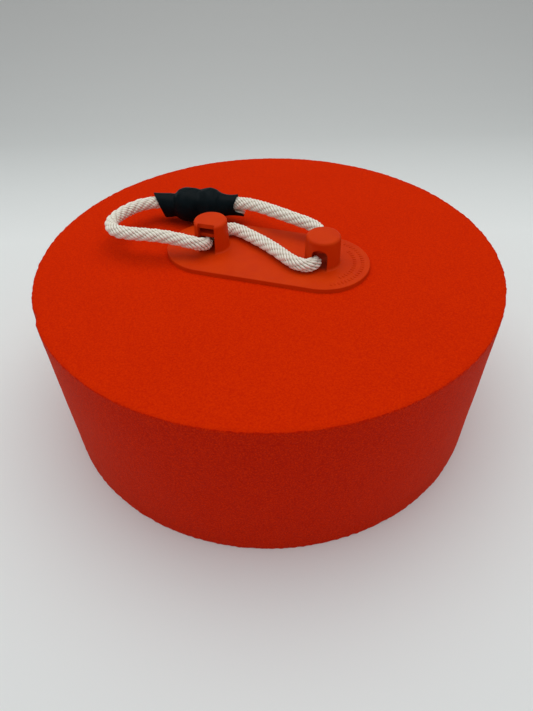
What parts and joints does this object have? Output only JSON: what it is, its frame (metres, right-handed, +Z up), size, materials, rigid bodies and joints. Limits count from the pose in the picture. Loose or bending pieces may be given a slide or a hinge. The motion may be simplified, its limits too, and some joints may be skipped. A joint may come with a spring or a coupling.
{
  "type": "training bumper",
  "caption": "Thick foam disc with a moulded rope plate on top and a braided rope handle that lifts on two hollow posts.",
  "frame": {"origin": "centre of the foam's underside, on the surface it lies on", "axes": "+Z up through the disc; +X along the rope plate from the left post to the right post; -Y the side that the left post's slot faces"},
  "size_m": [0.2032, 0.2032, 0.0917],
  "materials": {
    "foam": "closed-cell foam, smooth skin top, cut cell side",
    "top_moulding": "satin moulded elastomer",
    "back_moulding": "satin moulded elastomer",
    "spacer": "extruded tube",
    "screw": "stainless steel",
    "insert": "knurled brass",
    "rope": "solid-braided cord",
    "sleeve": "heat-shrunk tube, satin"
  },
  "bodies": {
    "bumper": {"foam_disc": "foam", "rope_plate": "top_moulding", "back_plate": "back_moulding", "spacer_tube_left": "spacer", "spacer_tube_right": "spacer", "clamp_screw_left": "screw", "clamp_screw_right": "screw", "screw_washer_left": "screw", "screw_washer_right": "screw", "threaded_insert_left": "insert", "threaded_insert_right": "insert", "rope_bridge": "rope"},
    "handle": {"rope_loop_left": "rope", "rope_loop_right": "rope", "shrink_sleeve": "sleeve", "rope_knot_left": "rope", "rope_knot_right": "rope", "rope_tail_left": "rope", "rope_tail_right": "rope"}
  },
  "joints": [
    {"name": "handle_swing", "type": "hinge", "parent": "bumper", "child": "handle", "pos_m": [-0.0252, -0.0126, 0.083], "axis": [0.9198, 0.3924, 0.0091], "range_deg": [0, 85]}
  ]
}
